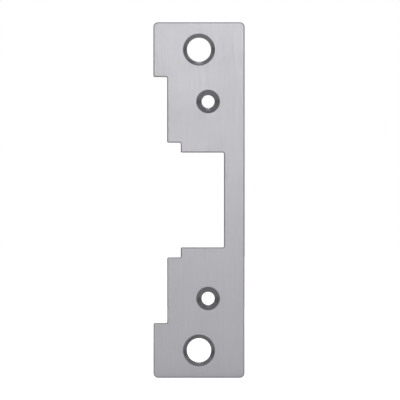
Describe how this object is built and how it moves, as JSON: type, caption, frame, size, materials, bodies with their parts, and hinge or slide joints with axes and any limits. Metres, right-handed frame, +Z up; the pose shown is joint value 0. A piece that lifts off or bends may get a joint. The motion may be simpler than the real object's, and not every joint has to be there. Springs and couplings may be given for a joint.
{
  "type": "electric strike faceplate",
  "caption": "Flat metal faceplate for a door strike, with a stepped latch opening along one long edge and countersunk screw holes.",
  "frame": {"origin": "midway between the two frame screws, on the back face that seats against the door frame", "axes": "+Z up along the plate's length; -Y out of the face, towards the door; +X towards the straight edge, so the stepped latch side is at -X"},
  "size_m": [0.0318, 0.0024, 0.1238],
  "materials": {
    "satin_stainless": "satin, brushed along the plate's length"
  },
  "bodies": {
    "root": {"faceplate": "satin_stainless"}
  },
  "joints": []
}
